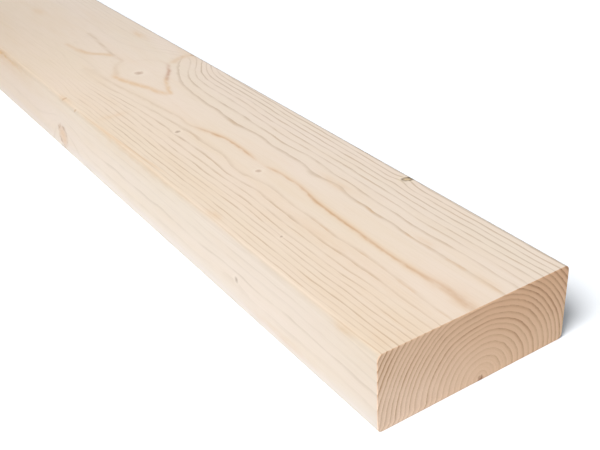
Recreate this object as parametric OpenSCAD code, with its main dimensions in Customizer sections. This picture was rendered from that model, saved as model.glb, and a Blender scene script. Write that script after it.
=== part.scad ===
// Planed softwood construction plank, lying on its wide face.
// X runs along the length, Y across the width and Z through the thickness.
// The origin is the middle of the underside.

/* [Section] */
// Planed width across the wide faces
plank_w = 120; // [63:1:250]
// Planed thickness between the wide faces
plank_t = 45; // [24:1:75]
// Radius of the four eased long edges
edge_r = 3; // [1:0.5:6]

/* [Length] */
// Length between the two square-sawn ends
plank_l = 2400; // [600:100:6000]

/* [Hidden] */
// Facets of a full circle in the eased edges
edge_fn = 64;

// Planed section, standing on the underside and centred on the width.
module planed_section() {
    flat_w = plank_w - 2 * edge_r;
    flat_t = plank_t - 2 * edge_r;
    translate([-flat_w / 2, 0]) square([flat_w, plank_t]);
    translate([-plank_w / 2, edge_r]) square([plank_w, flat_t]);
    for (side = [-1, 1], z = [edge_r, plank_t - edge_r])
        translate([side * flat_w / 2, z]) circle(r = edge_r, $fn = edge_fn);
}

// One sawn piece of wood: the section run along X between the two sawn ends.
module plank() {
    color("burlywood")
        rotate([90, 0, 90])
            linear_extrude(height = plank_l, center = true) planed_section();
}

plank();
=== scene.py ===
import math

import bpy
import numpy as np
from mathutils import Matrix, Vector


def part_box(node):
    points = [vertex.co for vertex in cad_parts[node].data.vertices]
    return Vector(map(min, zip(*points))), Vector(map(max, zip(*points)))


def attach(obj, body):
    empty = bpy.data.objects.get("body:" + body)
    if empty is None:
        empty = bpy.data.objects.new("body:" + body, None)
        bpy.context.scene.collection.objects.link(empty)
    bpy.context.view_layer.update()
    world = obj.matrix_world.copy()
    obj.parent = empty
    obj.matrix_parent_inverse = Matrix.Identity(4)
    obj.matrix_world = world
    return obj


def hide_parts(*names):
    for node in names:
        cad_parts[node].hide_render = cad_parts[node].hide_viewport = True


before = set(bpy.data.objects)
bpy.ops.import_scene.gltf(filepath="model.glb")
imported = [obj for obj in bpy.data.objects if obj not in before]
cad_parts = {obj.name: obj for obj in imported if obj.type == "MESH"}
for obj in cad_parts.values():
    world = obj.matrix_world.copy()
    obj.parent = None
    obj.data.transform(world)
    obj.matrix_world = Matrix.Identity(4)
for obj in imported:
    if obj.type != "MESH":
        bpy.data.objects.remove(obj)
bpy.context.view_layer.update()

# A planed softwood plank on a pale floor. Its growth rings are one field in space, worked out from
# the pith outwards, so that the lines on the long faces run into the arcs on the sawn ends.
# Inside the wood, lengths are in millimetres: x is 0 at the end that faces the camera and falls
# into the plank, y runs across it and z up from its underside.

LOW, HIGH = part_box("plank")
TO_MM = 1000.0
LENGTH = (HIGH.x - LOW.x) * TO_MM
HALF_WIDTH = (HIGH.y - LOW.y) * TO_MM / 2
THICK = (HIGH.z - LOW.z) * TO_MM
EDGE_RADIUS = 3.0  # the four eased long edges
ARRIS = 0.3  # the crisp edge round each sawn end

# ---- The tree ---------------------------------------------------------------------------------

# Outer radius of each year's ring, from the pith.
RING_RADII = (0, 5.1, 9.3, 13.5, 17.4, 21.1, 24.8, 28.4, 31.8, 34.9, 38.4, 42.1, 45.5, 47.9, 50.8,
              53.6, 56.4, 59.1, 61.8, 64.5, 67.3, 70.1, 72.6, 74.9, 77.2, 79.5, 81.7, 83.9, 86)
TOP_RING = 45.5  # the year that ends just under the middle of the upper face
NEXT_RING = 47.9  # the year after it, which ends at the two lines beside the middle

# Where the pith runs, as (x, height) and (x, across).
PITH_HEIGHT = ((-2400, -1.5), (-2050, 4.0), (-1700, 0.5), (-1350, 6.0), (-1000, 1.5), (-760, 5.5),
               (-620, 4.6), (-490, 3.2), (-430, 1.5), (-380, 1.2), (-200, 1.2), (0, 1.2))
PITH_ACROSS = ((-2400, -4.0), (-2000, 2.0), (-1550, -6.0), (-1100, 1.0), (-800, 6.0), (-500, 5.0),
               (-250, 3.0), (0, 3.4))
RING_SHIFT = -0.3  # how far towards +Y from the pith the outer rings' centre lies

# Where the outer rings leave a circle. Turns are in radians from straight up, positive towards -Y.
FLAT_SIDE = 1.8  # how much closer to the pith they run under the upper face
FLAT_TURN, FLAT_LEFT, FLAT_RIGHT = -0.09, 0.45, 0.6  # its middle, and its reach to each side
FULL_SIDE = 1.5  # how much further out they run at the foot of the right edge
FULL_FROM, FULL_TO = 0.8, 1.4  # the turns towards +Y over which that builds up
SHOULDER = 0.7  # how much further out they run left of the middle
SHOULDER_TURN, SHOULDER_REACH = 0.7, 0.25
# The radii over which the shift, the flat and the slow waves round the rings build up.
SHIFT_BUILDS, FLAT_BUILDS, WAVES_BUILD = (0, 50), (22, 40), (6, 40)
# Where the upper face is kept clear of the year below, fading in upwards and along x, how far, and
# how softly.
CLEAR_UP, CLEAR_ALONG, CLEAR_BY, CLEAR_SOFT = (41.5, 44.8), (-760, -620), 0.2, 0.4

# The two ring edges that run beside the middle of the upper face, as (x, y).
RIGHT_LINE = ((-400, 58), (-385, 45), (-370, 35), (-352, 27.5), (-324, 21.5), (-300, 19.6),
              (-281, 19.8), (-245, 17.8), (-223, 20.5), (-207, 19), (-190, 18.8), (-175, 18.9),
              (-160, 17), (-141, 20.3), (-122, 18.2), (-104, 16.8), (-60, 16.5), (0, 17.2))
LEFT_LINE = ((-400, -27), (-373, -25), (-329, -19.7), (-295, -16.4), (-234, -13.8), (-207, -15.4),
             (-195, -17.1), (-160, -13.9), (-133, -14.9), (-75, -15.8), (0, -17.1))
LINE_HOLDS = ((RIGHT_LINE, -402, -386), (LEFT_LINE, -475, -398))  # where along x each fades in
LINE_REACH = 8.0  # how far to each side of such a line the rings are pulled into place

# The thin ridge of the year below that the planer just caught, as (x, y), (x, strength) and
# (x, width).
RIDGE = ((-400, -19), (-361, -15.8), (-329, -11.8), (-301, -9.2), (-284, -7.6), (-274, -8.8),
         (-260, -5.4), (-239, -0.6), (-222, 0.4), (-207, -0.1), (-190, -0.9), (-178, 0.6),
         (-154, 1.3), (-130, -1.7), (-88, -3.3), (-62, -4.2), (-36, -3.0), (-18, -1.6), (0, -3.6))
RIDGE_STRENGTH = ((-400, 0.3), (-370, 0.6), (-300, 0.75), (-262, 0.75), (-240, 1), (-209, 0.8),
                  (-197, 0.15), (-188, 0.1), (-178, 0.65), (-160, 0.55), (-140, 0.9), (-115, 0.95),
                  (-60, 0.8), (-30, 0.6), (0, 0.65))
RIDGE_WIDTH = ((-400, 1.6), (-260, 1.4), (-220, 1.1), (-60, 1.1), (-38, 1.6), (-20, 2.9), (0, 3.4))

# A thin resinous line that leaves the left edge, as (x, y).
EDGE_LINE = ((-360, -60), (-330, -58.6), (-300, -57.2), (-265, -56), (-230, -54), (-205, -52.5))

# Soft stains: the middle, the reach along, across and up, and the strength.
STAINS = (
    ((-520, -60.5, 42.4), (62, 3, 2.6), 0.85),
    ((-540, -61, 38), (110, 6, 9), 0.36),
    ((-262, -58.8, 44.2), (80, 2.2, 2.2), 0.34),
    ((-275, -61, 39), (60, 6, 3.5), 0.2),
    ((-368, -57.8, 44.6), (8, 2.3, 2.3), 0.5),
    ((-462, 46, THICK), (13, 3.4, 3), 0.5),
    ((-154, -55, THICK), (6, 2.2, 2), 0.5),
    ((-25, -60, 44), (7, 2.5, 2.5), 0.5),
    ((-80, -60, 7), (36, 3, 2.6), 0.35),
    ((-584, 3, THICK), (12, 5, 3), 0.3),
    ((-318, -42, THICK), (3, 9, 3), 0.3),
    ((-100, -22, THICK), (60, 6, 3), 0.18),
    ((-140, 19, THICK), (16, 3, 3), 0.4),
    ((-60, 18, THICK), (7, 2.5, 3), 0.3),
    ((-12, 17, THICK), (9, 2.5, 3), 0.3),
    ((10, -44, THICK), (75, 24, 30), 0.2),
    ((-389, 57, 44), (16, 4, 4), 0.25),
)

# Places where the rings bulge or dip with no knot there: the middle, how far, and the reach.
BULGES = (
    ((0, -60, 12), 0.5, (30, 6, 12)),
    ((-250, -60, 0), 1.4, (600, 8, 5)),
    ((-200, -60, 24), -0.7, (900, 14, 16)),
    ((-305, 52, 45), 2.6, (105, 24, 22)),
)

# The island of older wood round the knot in the upper face, as a closed outline of (x, y).
ISLAND = ((-326, 7), (-340, 13), (-355, 19), (-370, 28.5), (-386, 34), (-402, 27), (-409, 12),
          (-402, -3), (-386, -12), (-366, -8), (-349, -2.5), (-335, 0.5))

# Soft lines on the upper face past the island: half their width, their strength, how much of the
# warmer tone they have, and where they run, as (x, y).
MARKS = (
    (1.4, 0.72, 0.1, ((-496, 14.3), (-485, 13.8), (-464, 11.4), (-443, 9.3), (-429, 8.0))),
    (1.8, 0.45, 0.8, ((-482, -11), (-472, -10.3), (-461, -9))),
    (2.6, 0.66, 0.8, ((-461, -9), (-447, -5), (-438, 2.9), (-431, 7))),
    (1.9, 0.4, 0.3, ((-430, 7.6), (-414, 8.2), (-409.5, 2), (-402, -3), (-390, -7))),
    (3.2, 0.55, 0.7, ((-384, 38), (-388, 44.3), (-390, 51.4), (-387.5, 58))),
)

# The tones of each kind of cut branch: heart, rim and the wood round it.
KNOT_LOOKS = {
    "pin": ((184, 164, 147), (200, 180, 162), (236, 220, 203)),
    "soft": ((198, 175, 156), (212, 190, 172), (236, 221, 205)),
    "sound": ((224, 194, 166), (194, 165, 142), (228, 211, 194)),
    "loose": ((216, 190, 150), (104, 80, 56), (236, 220, 190)),
    "faint": ((205, 175, 149), (210, 183, 158), (230, 214, 197)),
}
# How deep the planed face dips at each kind.
KNOT_DEPTHS = {"pin": 0.15, "soft": 0.1, "sound": 0.12, "loose": 0.35, "faint": 0.05}
KINDS = tuple(KNOT_LOOKS)
CROWN_LEAN = 0.22  # how far a branch leans towards the crown, at +X, for each millimetre outwards
SWELL_BUILDS = 18.0  # how far from the pith a branch's swelling of the rings is complete
FIBRE_REACH = 1.5  # how many of its radii from a branch the spread of the fibres has halved
FIBRE_SPREAD = 0.8  # how strongly they are spread close to it
FIBRE_STRETCH = 0.45  # what a distance along the plank counts for there, against one across it


def branch(kind, x, y, z, radius, swell, ahead, behind, across):
    """Where a branch leaves the wood, its radius there, and how far and how widely it swells the
    rings (towards the crown, towards the roots and across)."""
    return {"kind": kind, "exit": (x, y, z), "radius": radius, "swell": swell, "ahead": ahead,
            "behind": behind, "across": across}


SHOWN_BRANCHES = (
    branch("loose", -120, 55.7, THICK, 2.2, 2.0, 9, 7, 7),
    branch("soft", -184, -7.2, THICK, 1.9, 0.4, 6, 6, 5),
    branch("pin", -266, -19.3, THICK, 1.7, 0.8, 6, 6, 4),
    branch("soft", -381, 7.1, THICK, 3.3, 0.4, 8, 8, 6),
    branch("faint", -388, 58.0, 44, 2.4, 15, 34, 42, 24),
    branch("faint", -370, -58.0, THICK, 1.6, 1.6, 18, 16, 12),
    branch("faint", -346, -59.2, 44.2, 1.3, 0.6, 8, 8, 6),
    branch("pin", -111, -38, THICK, 0.8, 0.3, 4, 4, 3),
    branch("pin", -125, -HALF_WIDTH, 19, 1.8, 1.3, 14, 26, 6),
    branch("sound", -380, -HALF_WIDTH, 13, 8.6, 6, 30, 24, 16),
    branch("sound", -376, HALF_WIDTH, 18, 6.0, 7, 26, 22, 14),
    branch("pin", -392, -24, 0, 2.4, 2, 9, 8, 6),
)


def smooth(value, low, high):
    """0 up to low, 1 from high, and a smooth rise between."""
    part = np.clip((np.asarray(value, float) - low) / (high - low), 0, 1)
    return part * part * (3 - 2 * part)


def spline(points, at):
    """A smooth curve through points whose first numbers rise."""
    x, y = np.array(points, float).T
    slope = np.gradient(y, x)
    at = np.clip(np.asarray(at, float), x[0], x[-1])
    i = np.clip(np.searchsorted(x, at) - 1, 0, len(x) - 2)
    gap = x[i + 1] - x[i]
    t = (at - x[i]) / gap
    return (y[i] * (1 + 2 * t) * (1 - t) ** 2 + slope[i] * gap * t * (1 - t) ** 2
            + y[i + 1] * t * t * (3 - 2 * t) - slope[i + 1] * gap * t * t * (1 - t))


def leaving(x, degrees):
    """Where a branch at this angle round the pith, 0 towards +Y and 90 upwards, leaves the section."""
    side, up = math.cos(math.radians(degrees)), math.sin(math.radians(degrees))
    start_y, start_z = float(spline(PITH_ACROSS, x)), float(spline(PITH_HEIGHT, x))
    reach_y = (math.copysign(HALF_WIDTH, side) - start_y) / side if abs(side) > 1e-6 else 1e9
    reach_z = ((THICK if up > 0 else 0.0) - start_z) / up if abs(up) > 1e-6 else 1e9
    reach = min(reach_y, reach_z)
    return x, start_y + side * reach, start_z + up * reach


# The rest of the plank: where along it each year's whorl of branches is, and the pin knots between.
WHORLS = (-842, -1275, -1718, -2146)
PINS = (-560, -655, -735, -990, -1105, -1188, -1390, -1482, -1590, -1850, -1935, -2040, -2270,
        -2345)
WHORL_SIZE = 5
SHORTEST = 15.0  # branches that leave the wood closer to the pith than this are left out
SEED = 7


def hidden_branches():
    """The branches of each whorl, and the pin knots between, at places drawn at random."""
    rng = np.random.default_rng(SEED)
    found = []

    def grow(kind, x, angle, spread, swell):
        at = leaving(x, angle)
        out = math.hypot(at[1] - spline(PITH_ACROSS, x), at[2] - spline(PITH_HEIGHT, x))
        radius = spread * out
        if out > SHORTEST:
            reaches = (4 + 4 * radius, 3 + 3 * radius, 3 + 2 * radius)
            found.append(branch(kind, *at, radius, swell * radius, *reaches))

    for whorl in WHORLS:
        first = rng.uniform(0, 70)
        for step in range(WHORL_SIZE):
            x = whorl + rng.uniform(-16, 16)
            angle = first + 360 / WHORL_SIZE * step + rng.uniform(-14, 14)
            grow("sound", x, angle, rng.uniform(0.05, 0.12), 0.9)
    for x in PINS:
        grow("pin", x, rng.uniform(0, 360), rng.uniform(0.025, 0.04), 0.5)
    return tuple(found)


BRANCHES = SHOWN_BRANCHES + hidden_branches()


def branch_axis(b):
    """Where a branch starts on the pith, and its reach from there to where it leaves the wood."""
    x, y, z = b["exit"]
    start = np.array([x, spline(PITH_ACROSS, x), spline(PITH_HEIGHT, x)], float)
    out = math.hypot(y - start[1], z - start[2])
    start[0] = x - CROWN_LEAN * out
    return start, np.array([x, y, z], float) - start


def swelling(x, y, z):
    """How far the branches push the rings outwards."""
    total = np.zeros(x.shape)
    for b in BRANCHES:
        start, reach = branch_axis(b)
        out = reach[1:] / np.hypot(*reach[1:])
        along = (y - start[1]) * out[0] + (z - start[2]) * out[1]
        aside = (z - start[2]) * out[0] - (y - start[1]) * out[1]
        ahead = x - start[0] - CROWN_LEAN * along
        length = np.where(ahead > 0, b["ahead"], b["behind"])
        gap2 = (ahead / length) ** 2 + (aside / b["across"]) ** 2
        total += b["swell"] * smooth(along, 0, SWELL_BUILDS) * np.exp(-gap2)
    return total


def plain_radius(x, y, z):
    """Distance from the pith before the two drawn lines pull the rings into place."""
    across, height = spline(PITH_ACROSS, x), spline(PITH_HEIGHT, x)
    shift = RING_SHIFT * smooth(np.hypot(y - across, z - height), *SHIFT_BUILDS)
    radius = np.hypot(y - across - shift, z - height)
    turn = np.arctan2(z - height, y - across) - math.pi / 2
    uneven = (0.16 * np.sin(5 * turn + 0.3 * np.sin(x / 160))
              + 0.14 * np.sin(9 * turn) * np.cos(x / 120)
              + 0.12 * np.sin(17 * turn) * np.cos(x / 75 + 1)
              + 0.30 * np.sin(turn) * np.sin(x / 41) + 0.22 * np.sin(2 * turn) * np.sin(x / 23 + 2))
    uneven = uneven - FULL_SIDE * smooth(-turn, FULL_FROM, FULL_TO)
    uneven = uneven - SHOULDER * np.exp(-(((turn - SHOULDER_TURN) / SHOULDER_REACH) ** 2))
    flat_reach = np.where(turn > FLAT_TURN, FLAT_LEFT, FLAT_RIGHT)
    flat = FLAT_SIDE * np.exp(-(((turn - FLAT_TURN) / flat_reach) ** 2))
    flat = flat * smooth(radius, *FLAT_BUILDS)
    radius = radius + uneven * smooth(radius, *WAVES_BUILD) + flat - swelling(x, y, z)
    for middle, amount, reach in BULGES:
        gap2 = sum(((at - mid) / size) ** 2 for at, mid, size in zip((x, y, z), middle, reach))
        radius = radius - amount * np.exp(-gap2)
    # The planer left the middle of the upper face just clear of the year below.
    guard = smooth(z, *CLEAR_UP) * smooth(x, *CLEAR_ALONG)
    over = np.logaddexp(0, (radius - TOP_RING - CLEAR_BY) / CLEAR_SOFT)
    kept = TOP_RING + CLEAR_BY + CLEAR_SOFT * over
    return radius + guard * (kept - radius)


def ring_radius(x, y, z):
    """Distance from the pith, with the rings pulled to the two drawn lines on the upper face."""
    radius = plain_radius(x, y, z)
    pull = np.zeros(x.shape)
    for line, gone, full in LINE_HOLDS:
        at = spline(line, x)
        off = plain_radius(x, at, np.full(x.shape, THICK)) - NEXT_RING
        pull += off * np.exp(-(((y - at) / LINE_REACH) ** 2)) * smooth(x, gone, full)
    return radius - pull * smooth(z, 18, THICK)


def ring_number(x, y, z):
    """How many years' rings the point is from the pith, with the share of its own year."""
    return np.interp(ring_radius(x, y, z), RING_RADII, np.arange(len(RING_RADII)))


def straight_grain(x, y, z):
    """The point's place in the wood before the branches spread its fibres apart."""
    place = np.stack([x, y, z], -1)
    for b in BRANCHES:
        start, reach = branch_axis(b)
        axis = reach / np.linalg.norm(reach)
        offset = place - start
        along = offset @ axis
        offset = offset - along[:, None] * axis
        offset[:, 0] *= FIBRE_STRETCH
        gap2 = (offset ** 2).sum(1)
        size = (FIBRE_REACH * b["radius"]) ** 2
        pull = size / (gap2 + size) * (along > 0)
        offset[:, 0] = 0
        place = place - FIBRE_SPREAD * pull[:, None] * offset
    return place


def path_distance(px, py, x, y):
    """Distance from a path of short straight pieces."""
    best = np.full(x.shape, 1e9)
    for ax, ay, bx, by in zip(px[:-1], py[:-1], px[1:], py[1:]):
        dx, dy = bx - ax, by - ay
        t = np.clip(((x - ax) * dx + (y - ay) * dy) / (dx * dx + dy * dy), 0, 1)
        best = np.minimum(best, np.hypot(x - ax - t * dx, y - ay - t * dy))
    return best


def fine_path(corners, first, last):
    """A smooth path through some corners, from one of them to another."""
    count = np.arange(len(corners), dtype=float)
    fine = np.linspace(first, last, 12 * (last - first) + 1)
    return [spline(np.stack([count, corners[:, k]], 1), fine) for k in (0, 1)]


def outline_distance(outline, x, y):
    """Signed distance from a smooth closed outline, positive inside."""
    corners = np.array(outline, float)
    px, py = fine_path(np.concatenate([corners[-2:], corners, corners[:3]]), 2, len(corners) + 2)
    inside = np.zeros(x.shape, bool)
    for ax, ay, bx, by in zip(px[:-1], py[:-1], px[1:], py[1:]):
        crosses = (ay > y) != (by > y)
        safe = by - ay if abs(by - ay) > 1e-12 else 1e-12
        inside ^= crosses & (x < ax + (y - ay) / safe * (bx - ax))
    return np.where(inside, 1, -1) * path_distance(px, py, x, y)


def nearest_mark(x, y):
    """How many half widths away the nearest mark is, its strength and its warmth."""
    gap = np.full(x.shape, 30.0)
    strength, warmth = np.zeros(x.shape), np.zeros(x.shape)
    for half, strong, warm, path in MARKS:
        px, py = fine_path(np.array(path, float), 0, len(path) - 1)
        away = path_distance(px, py, x, y) / half
        near = away < gap
        gap[near], strength[near], warmth[near] = away[near], strong, warm
    return gap, strength, warmth


# ---- The plank's mesh -------------------------------------------------------------------------

NEAR_STEP, FAR_STEP, KNOT_STEP = 3.6, 12.0, 2.4  # between the stations along the plank
FAR_FROM, NEAR_FROM = -760, -600  # the near step takes over from the far one between these
FACE_STEP, MIDDLE_STEP = 2.4, 1.6  # between the corners across the flats
MIDDLE, MIDDLE_REACH = -4, 16.0  # where across the plank, and how widely, the second one rules
HOLD = 0.4  # from a flat's end to the next corner, to hold the shading of the rounded edges
KNOT_REACH = 9.0  # how far along from a knot the stations are closer together
ARC_STEPS = 5  # facets of each eased edge
SAMPLES = 6001  # along the line on which the places are worked out


def places(start, stop, step, spots, fine, reach):
    """Places from start to stop, a step apart, and a finer step apart near the spots."""
    at = np.linspace(start, stop, SAMPLES)
    density = 1.0 / step(at)
    for spot in spots:
        density = np.maximum(density, np.exp(-(((at - spot) / reach) ** 2)) / fine)
    total = np.concatenate([[0], np.cumsum((density[1:] + density[:-1]) / 2 * np.diff(at))])
    count = math.ceil(total[-1])
    return np.interp(np.linspace(0, total[-1], count + 1), total, at)


def flat_places(half, spots=()):
    """Places across a flat."""
    def even(at):
        return np.full(at.shape, FACE_STEP)

    inner = places(-half + HOLD, half - HOLD, even, spots, MIDDLE_STEP, MIDDLE_REACH)
    return np.concatenate([[-half], inner, [half]])


def stations():
    """Places along the plank, from the shown end."""
    def step(at):
        return FAR_STEP + (NEAR_STEP - FAR_STEP) * smooth(at, FAR_FROM, NEAR_FROM)

    knots = [b["exit"][0] for b in BRANCHES]
    inner = places(-LENGTH + ARRIS, -ARRIS, step, knots, KNOT_STEP, KNOT_REACH)
    return np.concatenate([[-LENGTH], inner, [0.0]])[::-1]


ACROSS = flat_places(HALF_WIDTH - EDGE_RADIUS, (MIDDLE,))
UPWARDS = THICK / 2 + flat_places(THICK / 2 - EDGE_RADIUS)


def section():
    """The rounded section's corners in order, seen from +X: places and outward directions."""
    spots, outward = [], []
    corner_y, low_z, high_z = HALF_WIDTH - EDGE_RADIUS, EDGE_RADIUS, THICK - EDGE_RADIUS

    def flat(points, direction):
        spots.extend(points)
        outward.extend([direction] * len(points))

    def arc(y, z, first):
        for k in range(1, ARC_STEPS):
            angle = math.radians(first + 90 * k / ARC_STEPS)
            turn = (math.cos(angle), math.sin(angle))
            spots.append((y + EDGE_RADIUS * turn[0], z + EDGE_RADIUS * turn[1]))
            outward.append(turn)

    flat([(y, 0.0) for y in ACROSS], (0, -1))
    arc(corner_y, low_z, -90)
    flat([(HALF_WIDTH, z) for z in UPWARDS], (1, 0))
    arc(corner_y, high_z, 0)
    flat([(y, THICK) for y in ACROSS[::-1]], (0, 1))
    arc(-corner_y, high_z, 90)
    flat([(-HALF_WIDTH, z) for z in UPWARDS[::-1]], (-1, 0))
    arc(-corner_y, low_z, 180)
    return np.array(spots, float), np.array(outward, float)


def hollow(x, y, z):
    """Depth of the dips in the planed faces, at the knots and from slight unevenness."""
    depth = 0.03 + 0.015 * np.sin(x / 61 + y / 23) + 0.015 * np.sin(x / 29 - y / 31 + z / 17)
    for b in BRANCHES:
        start, reach = branch_axis(b)
        axis = reach / np.linalg.norm(reach)
        offset = np.stack([x - start[0], y - start[1], z - start[2]], -1)
        along = offset @ axis
        gap = np.linalg.norm(offset - along[:, None] * axis, axis=1)
        radius = b["radius"] * np.clip(along / np.linalg.norm(reach), 0.05, None)
        rough = 1 + 0.35 * np.sin(2.1 * x + 1.7 * y) * np.sin(1.9 * z + x)
        dip = KNOT_DEPTHS[b["kind"]] * rough
        depth += dip * (1 - smooth(gap / radius, 0.55, 1.1)) * (along > 0)
    return depth


def sawn_end(outline, inner, around):
    """The faces of a sawn end, given the first corner of its outline and of the grid inside it: the
    grid, strips out to the flats, and a fan in each rounded corner."""
    n_y, n_z, arc = len(ACROSS), len(UPWARDS), ARC_STEPS - 1
    right, top = n_y + arc, n_y + arc + n_z + arc
    left = top + n_y + arc

    def node(a, b):
        """The corner at this place in the grid, or on the outline just outside it."""
        if b < 0:
            return outline + a
        if b >= n_z:
            return outline + top + n_y - 1 - a
        if a < 0:
            return outline + left + n_z - 1 - b
        if a >= n_y:
            return outline + right + b
        return inner + a * n_z + b

    found = []
    for a in range(-1, n_y):
        for b in range(-1, n_z):
            in_corner = a in (-1, n_y - 1) and b in (-1, n_z - 1)
            if not in_corner:
                found.append((node(a, b), node(a + 1, b), node(a + 1, b + 1), node(a, b + 1)))
    for centre, start in (((n_y - 1, 0), n_y - 1), ((n_y - 1, n_z - 1), right + n_z - 1),
                          ((0, n_z - 1), top + n_y - 1), ((0, 0), left + n_z - 1)):
        for facet in range(ARC_STEPS):
            first, second = start + facet, (start + facet + 1) % around
            found.append((node(*centre), outline + first, outline + second))
    return found


def plank_mesh():
    """The corners, the faces, what each face is part of (0, station and corner for the long faces, 1
    or -1 for an end), and the stations."""
    spots, outward = section()
    around = len(spots)
    x = stations()
    inset = np.where((x == 0) | (x == -LENGTH), ARRIS, 0.0)
    grid_x = np.repeat(x, around)
    yz = spots[None] - outward[None] * inset[:, None, None]
    grid_y, grid_z = yz[..., 0].ravel(), yz[..., 1].ravel()
    outs = np.tile(outward, (len(x), 1))
    dip = hollow(grid_x, grid_y, grid_z) * smooth(-grid_x, 0, 4) * smooth(grid_x + LENGTH, 0, 4)
    verts = [np.stack([grid_x, grid_y - outs[:, 0] * dip, grid_z - outs[:, 1] * dip], 1)]

    i, j = np.meshgrid(np.arange(len(x) - 1), np.arange(around), indexing="ij")
    this, after = i * around, (i + 1) * around
    k = (j + 1) % around
    faces = np.stack([this + j, after + j, after + k, this + k], -1)
    faces = [tuple(f) for f in faces.reshape(-1, 4)]
    strip = [(0, int(a), int(b)) for a, b in zip(i.ravel(), j.ravel())]

    inner = len(grid_x)
    for end, outline, sign in ((0.0, 0, 1), (-LENGTH, (len(x) - 1) * around, -1)):
        yy, zz = np.meshgrid(ACROSS, UPWARDS, indexing="ij")
        verts.append(np.stack([np.full(yy.size, end), yy.ravel(), zz.ravel()], 1))
        caps = sawn_end(outline, inner, around)
        faces += [f if sign > 0 else f[::-1] for f in caps]
        strip += [(sign, 0, 0)] * len(caps)
        inner += yy.size
    return np.concatenate(verts), faces, strip, x


def baking_map(mesh, coords, strip, x):
    """Lays the long faces out as one strip and the two ends above it, inside the unit square."""
    strip_top, ends_top, gap = 0.86, 0.99, 0.012
    end_width = 0.47
    spots, _ = section()
    closed = np.concatenate([spots, spots[:1]])
    run = np.concatenate([[0], np.cumsum(np.hypot(*np.diff(closed, axis=0).T))])
    run = gap + (strip_top - 2 * gap) * run / run[-1]
    # The part of the plank that the camera sees gets more of the picture.
    seen = np.interp(-x, [0, 640, LENGTH], [0.01, 0.46, 0.99])
    layer = mesh.uv_layers.new(name="OFBake")
    uv = np.zeros((len(mesh.loops), 2))
    for face, (kind, i, j) in zip(mesh.polygons, strip):
        loops = list(face.loop_indices)
        if kind == 0:
            corners = ((i, j), (i + 1, j), (i + 1, j + 1), (i, j + 1))
            for loop, (a, b) in zip(loops, corners):
                uv[loop] = seen[a], run[b]
        else:
            for loop in loops:
                place = coords[mesh.loops[loop].vertex_index]
                across = (place[1] / HALF_WIDTH + 1) / 2
                column = 0.01 + (0.0 if kind > 0 else 0.5)
                row = strip_top + gap + (ends_top - strip_top - gap) * place[2] / THICK
                uv[loop] = column + end_width * across, row
    layer.uv.foreach_set("vector", uv.astype(np.float32).ravel())


def add_numbers(mesh, name, values, domain="POINT"):
    """Stores a number or a vector with each point, corner or face, for the materials to read."""
    values = np.asarray(values, np.float32)
    vector = values.ndim == 2
    layer = mesh.attributes.new(name, "FLOAT_VECTOR" if vector else "FLOAT", domain)
    layer.data.foreach_set("vector" if vector else "value", values.ravel())


def add_knots(mesh, coords):
    """Gives each face the branch nearest to it, and each of its corners its place in that branch."""
    corner = np.zeros(len(mesh.loops), np.int32)
    mesh.loops.foreach_get("vertex_index", corner)
    size = np.zeros(len(mesh.polygons), np.int32)
    mesh.polygons.foreach_get("loop_total", size)
    face = np.repeat(np.arange(len(size)), size)
    corner = coords[corner]
    middle = np.stack([np.bincount(face, corner[:, k]) / size for k in range(3)], 1)

    def in_branch(b, at):
        start, reach = branch_axis(b)
        length = np.linalg.norm(reach)
        offset = at - start
        along = offset @ reach / length
        offset = offset - along[:, None] * reach / length
        return offset / np.maximum(along * b["radius"] / length, 0.05)[:, None], along

    best = np.full(len(size), 1e9)
    chosen = np.zeros(len(size), int)
    for number, b in enumerate(BRANCHES):
        offset, along = in_branch(b, middle)
        share = np.where(along > 0, np.linalg.norm(offset, axis=1), 1e8)
        chosen[share < best] = number
        best = np.minimum(best, share)
    knot = np.zeros((len(corner), 3))
    for number, b in enumerate(BRANCHES):
        mine = chosen[face] == number
        knot[mine] = in_branch(b, corner[mine])[0]
    add_numbers(mesh, "knot", knot, "CORNER")
    kinds = np.array([KINDS.index(b["kind"]) for b in BRANCHES])
    add_numbers(mesh, "knot_kind", kinds[chosen], "FACE")


def add_lines(mesh, px, py, pz):
    """Stores what the lines, the island and the marks drawn on the upper face need."""
    skin = smooth(pz, THICK - 2.2, THICK - 0.4)
    add_numbers(mesh, "ridge", py - spline(RIDGE, px))
    on_top = skin * smooth(px, -404, -396)
    add_numbers(mesh, "ridge_strength", on_top * np.interp(px, *np.array(RIDGE_STRENGTH).T))
    add_numbers(mesh, "ridge_width", np.interp(px, *np.array(RIDGE_WIDTH).T))
    add_numbers(mesh, "edge_line", py - spline(EDGE_LINE, px))
    strength = smooth(pz, THICK - 3, THICK - 1) * smooth(px, -345, -290) * smooth(-px, 205, 240)
    add_numbers(mesh, "edge_strength", strength)

    near = (px > -460) & (px < -290) & (pz > THICK / 2)
    island = np.full(px.shape, -40.0)
    island[near] = outline_distance(ISLAND, px[near], py[near])
    add_numbers(mesh, "island", np.maximum(island, -40))
    begins = -399 + 10 * smooth(py, 22, 32)
    add_numbers(mesh, "island_strength", 0.1 + 0.9 * smooth(px, begins, begins + 19))
    add_numbers(mesh, "island_rust", smooth(py, 14, 21) * smooth(-px, 342, 354))

    gap, strength, warmth = nearest_mark(px, py)
    add_numbers(mesh, "mark", gap)
    add_numbers(mesh, "mark_strength", strength * skin)
    add_numbers(mesh, "mark_warmth", warmth)


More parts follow.
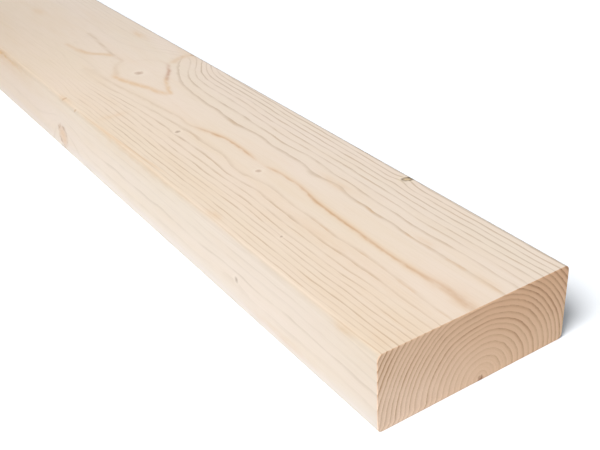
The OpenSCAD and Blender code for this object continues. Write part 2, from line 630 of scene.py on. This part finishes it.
def add_stains_and_shade(mesh, coords):
    """Stores the stains, the painted shade that darkens the colour farther along the plank, and how
    the rings fade there.
    """
    px, py, pz = coords.T
    stain = np.zeros(px.shape)
    for middle, reach, strength in STAINS:
        gap = (coords - middle) / reach
        stain += strength * np.exp(-(gap ** 2).sum(1))
    add_numbers(mesh, "stain", stain)
    out_y = np.abs(py)
    flank = smooth(out_y, HALF_WIDTH - EDGE_RADIUS, HALF_WIDTH - 0.4)
    # Painted shade, deepening farther along the plank, a little sooner on the narrow faces, and
    # lifting again past 900 mm.
    shade_along = smooth(-px, 330 - 50 * flank, 620 - 100 * flank) * (1 - smooth(-px, 900, 1300))
    add_numbers(mesh, "shade_along", shade_along)

    # How far the rings show farther along, on the narrow faces, at their upper edge, in the middle
    # and on the left of the near end, and on the right.
    first = 310 + 0.5 * (HALF_WIDTH - out_y)
    faded = (0.85 - 0.4 * flank) * smooth(-px, first, first + 90) * (1 - smooth(-px, 640, 760))
    contrast = (1 - faded) * (1 - 0.42 * flank) * (1 - 0.6 * flank * smooth(pz, 41, 43))
    contrast *= 1 - 0.45 * smooth(px, -90, -20) * (1 - smooth(out_y, 28, 44))
    contrast *= 1 + 0.4 * smooth(px, -110, -40) * smooth(-py, 28, 42) * (1 - flank)
    add_numbers(mesh, "contrast", contrast * (1 + 1.1 * smooth(py, 34, 50)))


def build_plank(long_faces, sawn_ends):
    """The plank with its two materials, seated in the frame."""
    coords, faces, strip, x = plank_mesh()
    mesh = bpy.data.meshes.new("planed_plank")
    in_row = coords / TO_MM + np.array([HIGH.x, (LOW.y + HIGH.y) / 2, LOW.z])
    mesh.from_pydata(in_row.tolist(), [], [list(f) for f in faces])
    mesh.update()
    px, py, pz = coords.T
    add_numbers(mesh, "ring", ring_number(px, py, pz))
    add_numbers(mesh, "radius", plain_radius(px, py, pz))
    add_numbers(mesh, "fibre", straight_grain(px, py, pz))
    add_lines(mesh, px, py, pz)
    add_stains_and_shade(mesh, coords)
    add_knots(mesh, coords)

    # The end's material also covers the narrow band of each crisp edge.
    mesh.materials.append(long_faces)
    mesh.materials.append(sawn_ends)
    slots = np.array([0 if kind == 0 and 0 < i < len(x) - 2 else 1 for kind, i, _ in strip], np.int32)
    mesh.polygons.foreach_set("material_index", slots)
    mesh.polygons.foreach_set("use_smooth", np.ones(len(slots), bool))
    mesh.set_sharp_from_angle(angle=math.radians(30))
    baking_map(mesh, coords, strip, x)
    plank = bpy.data.objects.new("planed_plank", mesh)
    bpy.context.scene.collection.objects.link(plank)
    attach(plank, "root")
    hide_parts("plank")


# ---- Materials --------------------------------------------------------------------------------

# Tones of the wood under white light, as a screen shows them.
PALE, CREAM, BUFF, FIBRE = (231, 213, 197), (229, 212, 193), (228, 206, 181), (212, 192, 170)
LATE, GOLDEN = (203, 183, 162), (206, 172, 136)
SUNNY, SHADY = (255, 254, 251), (251, 253, 255)
# Painted shade for the narrow faces and for the eased edges, and painted light from the floor for the
# foot of the narrow faces.
NARROW_FACE_SHADE, EASED_EDGE_SHADE, FOOT_FLOOR_LIGHT = (226, 230, 235), (245, 245, 244), (229, 219, 210)
# Painted shade farther along the plank: on the faces towards -Y and towards +Y, and on the narrow
# faces.
SHADE_ALONG, FAR_SHADE_ALONG, SIDE_SHADE_ALONG = (239, 239, 237), (248, 249, 250), (244, 240, 236)
GLOW, RESIN, RUST = (218, 182, 142), (190, 148, 110), (186, 142, 116)
# The sawn end, from low and high on one side to low and high on the other, with painted light from the
# floor that makes it paler low down; it also darkens towards +Y.
END_SHADED_TONES = ((236, 212, 190), (217, 186, 156), (219, 187, 158), (208, 168, 134))
END_PATCH, END_LATE, END_LINE = (222, 193, 164), (176, 136, 103), (140, 101, 70)
END_DARK, PITH = (203, 168, 138), (132, 91, 62)

# The shares of a year at which its latewood starts, is full, and starts to stop.
FACE_BAND, END_BAND = (0.66, 0.95, 0.97), (0.36, 0.86, 0.93)

FACE_SPECULAR, END_SPECULAR, END_ROUGHNESS = 0.28, 0.2, 0.8
FACE_BUMP, END_BUMP = (0.35, 0.00012), (0.5, 0.0002)  # strength, and depth in metres
PLANER_STEP = 2.6  # between the faint marks of the planer's knives


def tone(colour):
    """A colour given as a screen shows it, from 0 to 255, as the light values that shaders use."""
    return tuple(((c / 255 + 0.055) / 1.055) ** 2.4 for c in colour) + (1.0,)


class Wiring:
    """Short calls for the nodes that the wood is made of. A plain number or colour may stand for a
    link."""

    def __init__(self, tree):
        self.tree = tree

    def put(self, node, key, value):
        if isinstance(value, bpy.types.NodeSocket):
            self.tree.links.new(value, node.inputs[key])
        else:
            node.inputs[key].default_value = value

    def node(self, kind, inputs=(), **settings):
        n = self.tree.nodes.new(kind)
        for name, value in settings.items():
            setattr(n, name, value)
        for key, value in dict(inputs).items():
            self.put(n, key, value)
        return n

    def math(self, operation, a, b=0.0, clamp=False):
        n = self.node("ShaderNodeMath", {0: a, 1: b}, operation=operation, use_clamp=clamp)
        return n.outputs[0]

    def add(self, a, b):
        return self.math("ADD", a, b)

    def times(self, a, b):
        return self.math("MULTIPLY", a, b)

    def less(self, a, b):
        return self.math("SUBTRACT", a, b)

    def vector(self, operation, a, b=(0, 0, 0)):
        n = self.node("ShaderNodeVectorMath", {0: a, 1: b}, operation=operation)
        return n.outputs["Value" if operation == "LENGTH" else "Vector"]

    def joined(self, x, y, z):
        return self.node("ShaderNodeCombineXYZ", {0: x, 1: y, 2: z}).outputs[0]

    def parts(self, vector):
        return self.node("ShaderNodeSeparateXYZ", {0: vector}).outputs

    def step(self, value, low, high, to_low=0.0, to_high=1.0):
        """Turns smoothly from to_low to to_high as the value goes from low to high."""
        inputs = {"Value": value, "From Min": low, "From Max": high, "To Min": to_low,
                  "To Max": to_high}
        return self.node("ShaderNodeMapRange", inputs, interpolation_type="SMOOTHSTEP").outputs[0]

    def bell(self, value, width):
        """1 where the value is 0, falling to nothing a few widths away."""
        part = self.math("DIVIDE", value, width)
        return self.math("EXPONENT", self.times(self.times(part, part), -1.0))

    def noise(self, vector, detail=2.0, rough=0.5):
        inputs = {"Vector": vector, "Scale": 1.0, "Detail": detail, "Roughness": rough}
        return self.node("ShaderNodeTexNoise", inputs).outputs[0]

    def grain(self, vector, along, across, detail=2.0, rough=0.5):
        """Noise with this many patches to a millimetre along the plank and across it."""
        return self.noise(self.vector("MULTIPLY", vector, (along, across, across)), detail, rough)

    def random(self, number):
        n = self.node("ShaderNodeTexWhiteNoise", {"W": number}, noise_dimensions="1D")
        return n.outputs["Value"]

    def mix(self, factor, a, b, blend="MIX"):
        n = self.node("ShaderNodeMix", {0: factor, 6: a, 7: b}, data_type="RGBA", blend_type=blend)
        return n.outputs[2]

    def pick(self, number, colours):
        """The colour that a whole number counts to."""
        share = self.math("DIVIDE", self.add(number, 0.5), len(colours))
        n = self.node("ShaderNodeValToRGB", {0: share})
        ramp = n.color_ramp
        ramp.interpolation = "CONSTANT"
        while len(ramp.elements) < len(colours):
            ramp.elements.new(0.5)
        for k, colour in enumerate(colours):
            ramp.elements[k].position = k / len(colours)
            ramp.elements[k].color = colour
        return n.outputs["Color"]

    def attribute(self, name, output="Fac"):
        return self.node("ShaderNodeAttribute", attribute_name=name).outputs[output]

    def place(self):
        """The point's place in the plank, in millimetres from the end that faces the camera."""
        coords = self.node("ShaderNodeTexCoord").outputs["Object"]
        metres = self.vector("SUBTRACT", coords, (HIGH.x, 0, LOW.z))
        return self.vector("MULTIPLY", metres, (TO_MM, TO_MM, TO_MM))


def new_material(name):
    """A new material and its own shader."""
    mat = bpy.data.materials.new(name)
    mat.use_nodes = True
    return mat, mat.node_tree.nodes["Principled BSDF"]


def add_bump(w, shader, height, strength, depth):
    bump = w.node("ShaderNodeBump", {"Strength": strength, "Distance": depth, "Height": height})
    w.put(shader, "Normal", bump.outputs[0])


def latewood(w, part, band):
    """Share of dense latewood, which builds up through each year and stops at a sharp edge."""
    starts, full, stops = band
    return w.times(w.step(part, starts, full), w.step(part, stops, 1.0, 1.0, 0.0))


def with_knots(w, colour, place):
    """Draws the branches' cut ends over a colour."""
    warp = w.times(w.less(w.grain(place, 0.4, 0.4, 3.0), 0.5), 0.9)
    share = w.add(w.vector("LENGTH", w.attribute("knot", "Vector")), warp)
    kind = w.attribute("knot_kind")
    heart, rim, halo = (w.pick(kind, [tone(KNOT_LOOKS[k][part]) for k in KINDS]) for part in range(3))
    colour = w.mix(w.times(w.bell(w.less(share, 1.5), 0.55), 0.3), colour, halo)
    lines = w.step(w.math("SINE", w.times(share, 15.0)), -1.0, 1.0, 0.0, 0.25)
    heart = w.mix(lines, heart, rim)
    colour = w.mix(w.step(share, 0.3, 1.2, 0.95, 0.0), colour, heart)
    broken = w.step(w.grain(place, 0.16, 0.16, 1.0), 0.4, 0.6, 0.25, 0.85)
    loose = w.bell(w.less(kind, KINDS.index("loose")), 0.3)
    ring = w.bell(w.less(share, 0.88), w.add(0.17, w.times(loose, 0.15)))
    return w.mix(w.times(ring, w.add(broken, w.times(loose, 0.25))), colour, rim)


def plain_wood(w, fibre, side, z):
    """Slow changes of tone, a paler foot on the narrow faces that is painted light from the floor, and
    fine streaks.
    """
    slow = w.grain(fibre, 0.007, 0.035, 3.0)
    elsewhere = w.vector("ADD", w.vector("MULTIPLY", fibre, (0.014, 0.08, 0.08)), (40, 7, 3))
    warm = w.noise(elsewhere)
    colour = w.mix(w.step(slow, 0.3, 0.7), tone(PALE), tone(CREAM))
    colour = w.mix(w.step(warm, 0.4, 0.75, 0.0, 0.35), colour, tone(BUFF))
    # Painted light from the floor: paler towards the foot of the narrow faces.
    colour = w.mix(w.times(side, w.step(z, 3, 14, 0.65, 0.0)), colour, tone(FOOT_FLOOR_LIGHT))
    streaks = w.grain(fibre, 0.03, 1.3, 4.0, 0.65)
    return w.mix(w.step(streaks, 0.4, 0.8, 0.0, 0.28), colour, tone(FIBRE))


def with_rings(w, colour, fibre, wobble, side, y):
    """Draws the rings over a colour, and returns their latewood as well."""
    swing = w.less(w.grain(fibre, 0.028, 0.06), 0.5)
    ring = w.add(w.attribute("ring"), w.add(w.times(wobble, 0.28), w.times(swing, 0.55)))
    number = w.math("FLOOR", ring)
    late = latewood(w, w.math("FRACT", ring), FACE_BAND)
    x = w.parts(fibre)[0]
    along = w.noise(w.joined(w.times(x, 0.04), w.times(number, 3.7), w.times(number, 1.3)), 3.0)
    each = w.step(w.random(number), 0.0, 1.0, 0.5, 0.95)
    strength = w.times(each, w.step(along, 0.28, 0.68, 0.25, 1.3))
    bold = w.bell(w.less(number, RING_RADII.index(TOP_RING)), 0.3)
    strength = w.add(strength, w.times(bold, w.step(y, -12, 12, 0.1, 0.42)))
    strength = w.times(strength, w.attribute("contrast"))
    golden = w.times(w.step(along, 0.46, 0.64), w.add(w.times(bold, 0.75), 0.2))
    golden = w.times(golden, w.times(w.step(x, -290, -190, 0.1, 1.0), w.less(1.0, side)))
    late_tone = w.mix(golden, tone(LATE), tone(GOLDEN))
    return w.mix(w.math("MULTIPLY", late, strength, clamp=True), colour, late_tone), late


def with_lines(w, colour, place, fibre, wobble, y):
    """Draws the ridge, the edge line, the island, the marks and the stains over a colour."""
    x = w.parts(fibre)[0]
    blotch = w.grain(place, 0.11, 0.3)
    shaken = w.less(blotch, 0.5)

    ridge, width = w.attribute("ridge"), w.attribute("ridge_width")
    ridge = w.add(ridge, w.times(shaken, 2.2))
    on_ridge = w.times(w.attribute("ridge_strength"), w.step(blotch, 0.3, 0.65, 0.6, 1.15))
    glow = w.times(w.bell(w.less(ridge, 0.4), w.times(width, 2.0)),
                   w.times(on_ridge, w.step(x, -275, -245, 0.12, 0.5)))
    colour = w.mix(glow, colour, tone(GLOW))
    core = w.times(w.bell(ridge, w.times(width, 0.75)), w.times(on_ridge, 0.6))
    colour = w.mix(core, colour, w.mix(w.step(x, -275, -245), tone(LATE), tone(RESIN)))
    edge = w.times(w.bell(w.add(w.attribute("edge_line"), w.times(wobble, 2.0)), 0.9),
                   w.times(w.attribute("edge_strength"), 0.35))
    colour = w.mix(edge, colour, tone(GLOW))

    island = w.add(w.attribute("island"), w.times(shaken, 2.0))
    rust = w.attribute("island_rust")
    inside = w.bell(w.less(island, w.step(rust, 0, 1, 1.9, 1.3)), w.step(y, 0, 12, 2.8, 1.7))
    inside = w.times(inside, w.times(w.attribute("island_strength"), 0.8))
    rusty = w.mix(rust, tone(GLOW), tone(RUST))
    colour = w.mix(w.times(inside, w.step(blotch, 0.3, 0.6, 0.5, 0.85)), colour, rusty)

    mark = w.bell(w.add(w.attribute("mark"), w.times(shaken, 1.4)), 1.0)
    mark = w.times(mark, w.times(w.attribute("mark_strength"), w.step(blotch, 0.3, 0.6, 0.6, 1.1)))
    colour = w.mix(mark, colour, w.mix(w.attribute("mark_warmth"), tone(LATE), tone(GLOW)))
    stain = w.times(w.attribute("stain"), w.step(blotch, 0.3, 0.65, 0.55, 1.1))
    return w.mix(stain, colour, tone(GLOW))


def with_painted_light_and_shade(w, colour, side, out_y, y, z):
    """Paints light and shade into a colour: across the faces, on the narrow faces and the eased edges,
    and farther along.
    """
    across = w.step(y, -HALF_WIDTH, HALF_WIDTH)
    colour = w.mix(1.0, colour, w.mix(across, tone(SUNNY), tone(SHADY)), "MULTIPLY")
    # Painted shade on the narrow faces, a little cooler than on the upper face.
    colour = w.mix(side, colour, tone(NARROW_FACE_SHADE), "MULTIPLY")
    # Painted shade along the four eased long edges.
    out_z = w.math("ABSOLUTE", w.less(z, THICK / 2))
    edge_shade = w.times(w.step(out_y, HALF_WIDTH - EDGE_RADIUS, HALF_WIDTH - 1.6),
                    w.step(out_z, THICK / 2 - EDGE_RADIUS - 0.2, THICK / 2 - 1.4))
    colour = w.mix(edge_shade, colour, tone(EASED_EDGE_SHADE), "MULTIPLY")
    # Painted shade farther along the plank.
    shade_along = w.mix(side, w.mix(across, tone(SHADE_ALONG), tone(FAR_SHADE_ALONG)), tone(SIDE_SHADE_ALONG))
    return w.mix(w.attribute("shade_along"), colour, shade_along, "MULTIPLY")


def face_material():
    mat, shader = new_material("planed_softwood")
    w = Wiring(mat.node_tree)
    place, fibre = w.place(), w.attribute("fibre", "Vector")
    x, y, z = w.parts(place)
    out_y = w.math("ABSOLUTE", y)
    side = w.step(out_y, HALF_WIDTH - EDGE_RADIUS, HALF_WIDTH - 0.4)
    wobble = w.less(w.grain(fibre, 0.05, 0.3, 3.0), 0.5)

    colour = plain_wood(w, fibre, side, z)
    colour, late = with_rings(w, colour, fibre, wobble, side, y)
    colour = with_lines(w, colour, place, fibre, wobble, y)
    colour = with_knots(w, colour, place)
    colour = with_painted_light_and_shade(w, colour, side, out_y, y, z)
    w.put(shader, "Base Color", colour)
    w.put(shader, "Specular IOR Level", FACE_SPECULAR)
    w.put(shader, "Roughness", w.step(late, 0.0, 1.0, 0.62, 0.52))
    fine = w.grain(fibre, 0.08, 3.0, 3.0, 0.6)
    knife_marks = w.math("SINE", w.times(x, 2 * math.pi / PLANER_STEP))
    height = w.add(w.times(late, 0.5), w.add(w.times(fine, 0.45), w.times(knife_marks, 0.05)))
    add_bump(w, shader, height, *FACE_BUMP)
    return mat


def end_material():
    mat, shader = new_material("sawn_end_grain")
    w = Wiring(mat.node_tree)
    place = w.place()
    y, z = w.parts(place)[1], w.parts(place)[2]

    # The rings, and how strongly each one shows.
    wobble = w.less(w.grain(place, 0.0, 0.22), 0.5)
    jitter = w.less(w.grain(place, 0.0, 1.3, 1.0), 0.5)
    ring = w.add(w.attribute("ring"), w.add(w.times(wobble, 0.24), w.times(jitter, 0.08)))
    number = w.math("FLOOR", ring)
    part = w.math("FRACT", ring)
    late = latewood(w, part, END_BAND)
    strength = w.step(w.random(w.add(number, 11.0)), 0.0, 1.0, 0.5, 0.9)
    patchy = w.grain(place, 0.0, 0.06)
    outer = w.add(w.step(y, 5, HALF_WIDTH, 0.8, 1.45), w.step(y, -15, -HALF_WIDTH, 0.0, 0.15))
    outer = w.times(outer, w.step(z, 0, THICK, 0.8, 1.45))
    outer = w.times(outer, w.step(number, 2, 8, 0.55, 1.0))
    strength = w.times(strength, w.times(outer, w.step(patchy, 0.3, 0.7, 0.54, 0.92)))

    # The wood between them, and the rings over it.
    # Painted light from the floor: the end is paler low down and darker towards the top.
    across, shade_upwards = w.step(y, -HALF_WIDTH - 8, HALF_WIDTH / 2), w.step(z, -6, THICK + 6)
    lit_low = w.mix(across, tone(END_SHADED_TONES[0]), tone(END_SHADED_TONES[1]))
    shaded_high = w.mix(across, tone(END_SHADED_TONES[2]), tone(END_SHADED_TONES[3]))
    colour = w.mix(shade_upwards, lit_low, shaded_high)
    colour = w.mix(w.step(patchy, 0.35, 0.7, 0.0, 0.2), colour, tone(END_PATCH))
    grain = w.grain(place, 0.0, 1.4, 4.0, 0.7)
    colour = w.mix(w.step(grain, 0.35, 0.72, 0.0, 0.36), colour, tone(END_DARK))
    colour = w.mix(w.math("MULTIPLY", late, strength, clamp=True), colour, tone(END_LATE))
    dashes = w.grain(place, 0.0, 0.45)
    dashes = w.times(w.step(dashes, 0.42, 0.62), w.times(strength, 0.7))
    edge = w.bell(w.less(part, 0.9), 0.06)
    colour = w.mix(w.times(edge, dashes), colour, tone(END_LINE))

    # A thin false ring within some of the years, the pith and the branches.
    false_ring = w.times(w.bell(w.less(part, 0.36), 0.09), w.step(patchy, 0.35, 0.6, 0.0, 0.12))
    colour = w.mix(false_ring, colour, tone(END_LATE))
    rough_radius = w.add(w.attribute("radius"), w.times(jitter, 1.6))
    colour = w.mix(w.step(rough_radius, 1.2, 2.7, 0.9, 0.0), colour, tone(PITH))
    colour = with_knots(w, colour, place)
    w.put(shader, "Base Color", colour)
    w.put(shader, "Roughness", END_ROUGHNESS)
    w.put(shader, "Specular IOR Level", END_SPECULAR)
    saw = w.noise(w.joined(0.0, w.times(y, 2.2), w.times(z, 0.12)))
    height = w.add(w.times(grain, 0.6), w.add(w.times(saw, 0.5), w.times(late, 0.3)))
    add_bump(w, shader, height, *END_BUMP)
    return mat


# ---- Stage, light and camera ------------------------------------------------------------------

FLOOR_TONE, FLOOR_GLOW, FLOOR_GLOW_STRENGTH = (0.95, 0.97, 1.0, 1), (0.92, 0.98, 1.0, 1), 0.03
WALL_TONE = (0.89, 0.92, 0.95, 1)
FLOOR_RADIUS, WALL_RADIUS = 14, 13  # metres; the floor runs on past the wall
ROOM_TONE, ROOM_STRENGTH = (0.95, 1.0, 1.06, 1), 0.17
TO_KEY = (0.196, -0.609, 0.768)  # towards the main light
KEY_STRENGTH, KEY_SPREAD = 3.5, 32  # the spread is in degrees
SOFTBOX_SIZE, SOFTBOX_POWER, SOFTBOX_AWAY = 0.7, 2.8, 1.2  # metres, watts, metres

# The camera looks past the shown end at a point beside and above it, from this direction, in degrees.
AIM_ACROSS, AIM_UP = -0.0961, 0.1246
AZIMUTH, ELEVATION, ROLL = 57.71, 30.36, -3.03
DISTANCE = 0.356  # from that point
LENS, SENSOR = 56.94, 36


def stage_material(name, base, roughness, specular, glow, strength):
    mat, shader = new_material(name)
    settings = {"Base Color": base, "Roughness": roughness, "Specular IOR Level": specular,
                "Emission Color": glow, "Emission Strength": strength}
    for key, value in settings.items():
        shader.inputs[key].default_value = value
    return mat


def build_floor():
    mat = stage_material("pale_floor", FLOOR_TONE, 0.9, 0.1, FLOOR_GLOW, FLOOR_GLOW_STRENGTH)
    bpy.ops.mesh.primitive_circle_add(vertices=96, radius=FLOOR_RADIUS, fill_type="NGON",
                                      location=(0, 0, LOW.z))
    floor = bpy.context.object
    floor.name = "floor"
    floor.data.materials.append(mat)


def build_backdrop():
    """A pale wall far off all round, which only the camera sees, for the low views."""
    mat = stage_material("pale_wall", (0, 0, 0, 1), 0.5, 0.0, WALL_TONE, 1.0)
    bpy.ops.mesh.primitive_uv_sphere_add(segments=64, ring_count=32, radius=WALL_RADIUS,
                                         location=(0, 0, LOW.z))
    wall = bpy.context.object
    wall.name = "backdrop"
    wall.data.materials.append(mat)
    wall.visible_diffuse = wall.visible_glossy = wall.visible_transmission = False
    wall.visible_shadow = False


def build_light():
    """A dim even room, a soft main light and a softbox close to the shown end."""
    world = bpy.data.worlds.new("soft_room")
    bpy.context.scene.world = world
    world.use_nodes = True
    background = world.node_tree.nodes["Background"]
    background.inputs["Color"].default_value = ROOM_TONE
    background.inputs["Strength"].default_value = ROOM_STRENGTH

    sun = bpy.data.lights.new("soft_key", "SUN")
    sun.energy = KEY_STRENGTH
    sun.angle = math.radians(KEY_SPREAD)
    key = bpy.data.objects.new("soft_key", sun)
    key.rotation_euler = Vector(TO_KEY).to_track_quat("Z", "Y").to_euler()
    bpy.context.scene.collection.objects.link(key)

    box = bpy.data.lights.new("softbox", "AREA")
    box.shape = "SQUARE"
    box.size = SOFTBOX_SIZE
    box.energy = SOFTBOX_POWER
    near = bpy.data.objects.new("softbox", box)
    near.location = Vector((HIGH.x, 0, 0)) + SOFTBOX_AWAY * Vector(TO_KEY)
    away = near.location - Vector((HIGH.x - 0.1, 0, 0))
    near.rotation_euler = away.to_track_quat("Z", "Y").to_euler()
    bpy.context.scene.collection.objects.link(near)


def build_camera():
    """A camera near the shown end, looking down along the plank, with a slight roll."""
    target = Vector((HIGH.x, AIM_ACROSS, AIM_UP))
    azimuth, elevation, roll = math.radians(AZIMUTH), math.radians(ELEVATION), math.radians(ROLL)
    level = math.cos(elevation)
    back = Vector((math.sin(azimuth) * level, -math.cos(azimuth) * level, math.sin(elevation)))
    flat_right = (-back).cross(Vector((0, 0, 1))).normalized()
    flat_up = flat_right.cross(-back)
    right = flat_right * math.cos(roll) + flat_up * math.sin(roll)
    up = flat_up * math.cos(roll) - flat_right * math.sin(roll)
    turn = Matrix((right, up, back)).transposed().to_4x4()

    data = bpy.data.cameras.new("camera")
    data.lens = LENS
    data.sensor_width = SENSOR
    data.clip_start = 0.02
    data.clip_end = 60
    camera = bpy.data.objects.new("camera", data)
    camera.matrix_world = Matrix.Translation(target + back * DISTANCE) @ turn
    bpy.context.scene.collection.objects.link(camera)
    bpy.context.scene.camera = camera


bpy.context.scene.view_settings.view_transform = "Standard"
build_plank(face_material(), end_material())
build_floor()
build_backdrop()
build_light()
build_camera()
